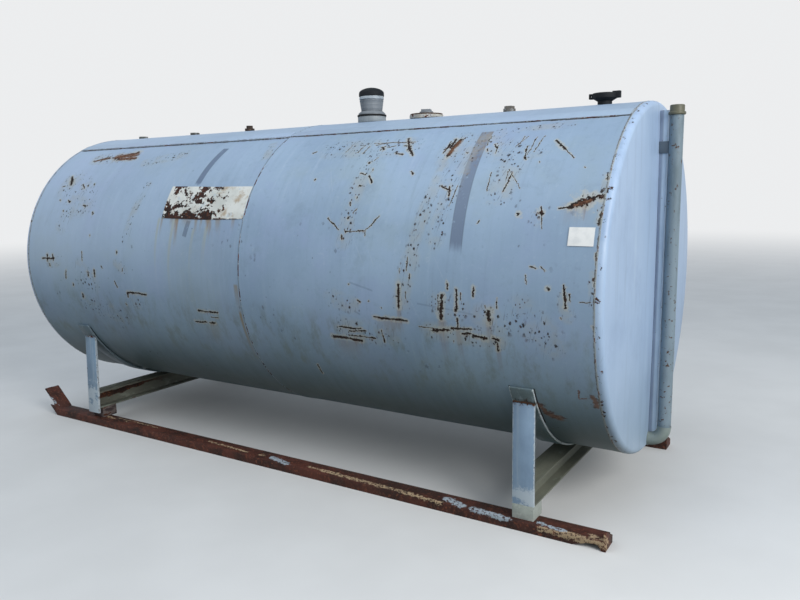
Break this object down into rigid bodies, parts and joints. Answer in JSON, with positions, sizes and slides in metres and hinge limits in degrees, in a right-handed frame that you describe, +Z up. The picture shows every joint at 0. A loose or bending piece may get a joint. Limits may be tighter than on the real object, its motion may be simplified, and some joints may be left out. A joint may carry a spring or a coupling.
{
  "type": "horizontal storage tank on skid runners",
  "caption": "Horizontal round steel storage tank with flat flanged heads, on saddles and steel skid runners, with a capped standpipe on one head, an emergency vent, a cover and a fill cap on top.",
  "frame": {"origin": "on the floor under the middle of the bounding box", "axes": "+X along the tank towards the head with the standpipe, +Z up, -Y the side seen in the picture"},
  "size_m": [3.972, 1.6282, 2.038],
  "materials": {
    "tank_paint": "faded light blue grey paint, chipped",
    "bare_pipe": "weathered grey green",
    "rusty_steel": "rusted rough",
    "black_cap": "black, dull",
    "gasket": "matt",
    "sign": "peeling white paint",
    "label": "plain white, satin"
  },
  "bodies": {
    "root": {"shell_left": "tank_paint", "shell_right": "tank_paint", "girth_weld": "tank_paint", "lap_left": "tank_paint", "lap_right": "tank_paint", "head_left": "tank_paint", "head_right": "tank_paint", "head_stiffener": "tank_paint", "outlet_nipple": "bare_pipe", "outlet_elbow": "bare_pipe", "standpipe": "bare_pipe", "pipe_cap": "bare_pipe", "pipe_bracket": "bare_pipe", "vent_neck": "tank_paint", "vent_gasket": "gasket", "vent_flange": "tank_paint", "vent_drum": "tank_paint", "vent_ring": "tank_paint", "vent_dome": "black_cap", "cover_collar": "tank_paint", "cover_plate": "tank_paint", "cover_plug": "bare_pipe", "hex_plug": "rusty_steel", "step_plug": "rusty_steel", "bung_a": "bare_pipe", "bung_b": "bare_pipe", "fill_neck": "tank_paint", "fill_body": "black_cap", "fill_lid": "black_cap", "sign_panel": "sign", "label_plate": "label", "strap_left": "tank_paint", "strap_right": "tank_paint", "leg_front_left": "tank_paint", "leg_front_right": "tank_paint", "leg_rear_left": "tank_paint", "leg_rear_right": "tank_paint", "cross_beam_left": "rusty_steel", "cross_beam_right": "rusty_steel", "spacers_left": "rusty_steel", "spacers_right": "rusty_steel", "runner_front": "rusty_steel", "runner_rear": "rusty_steel"}
  },
  "joints": []
}
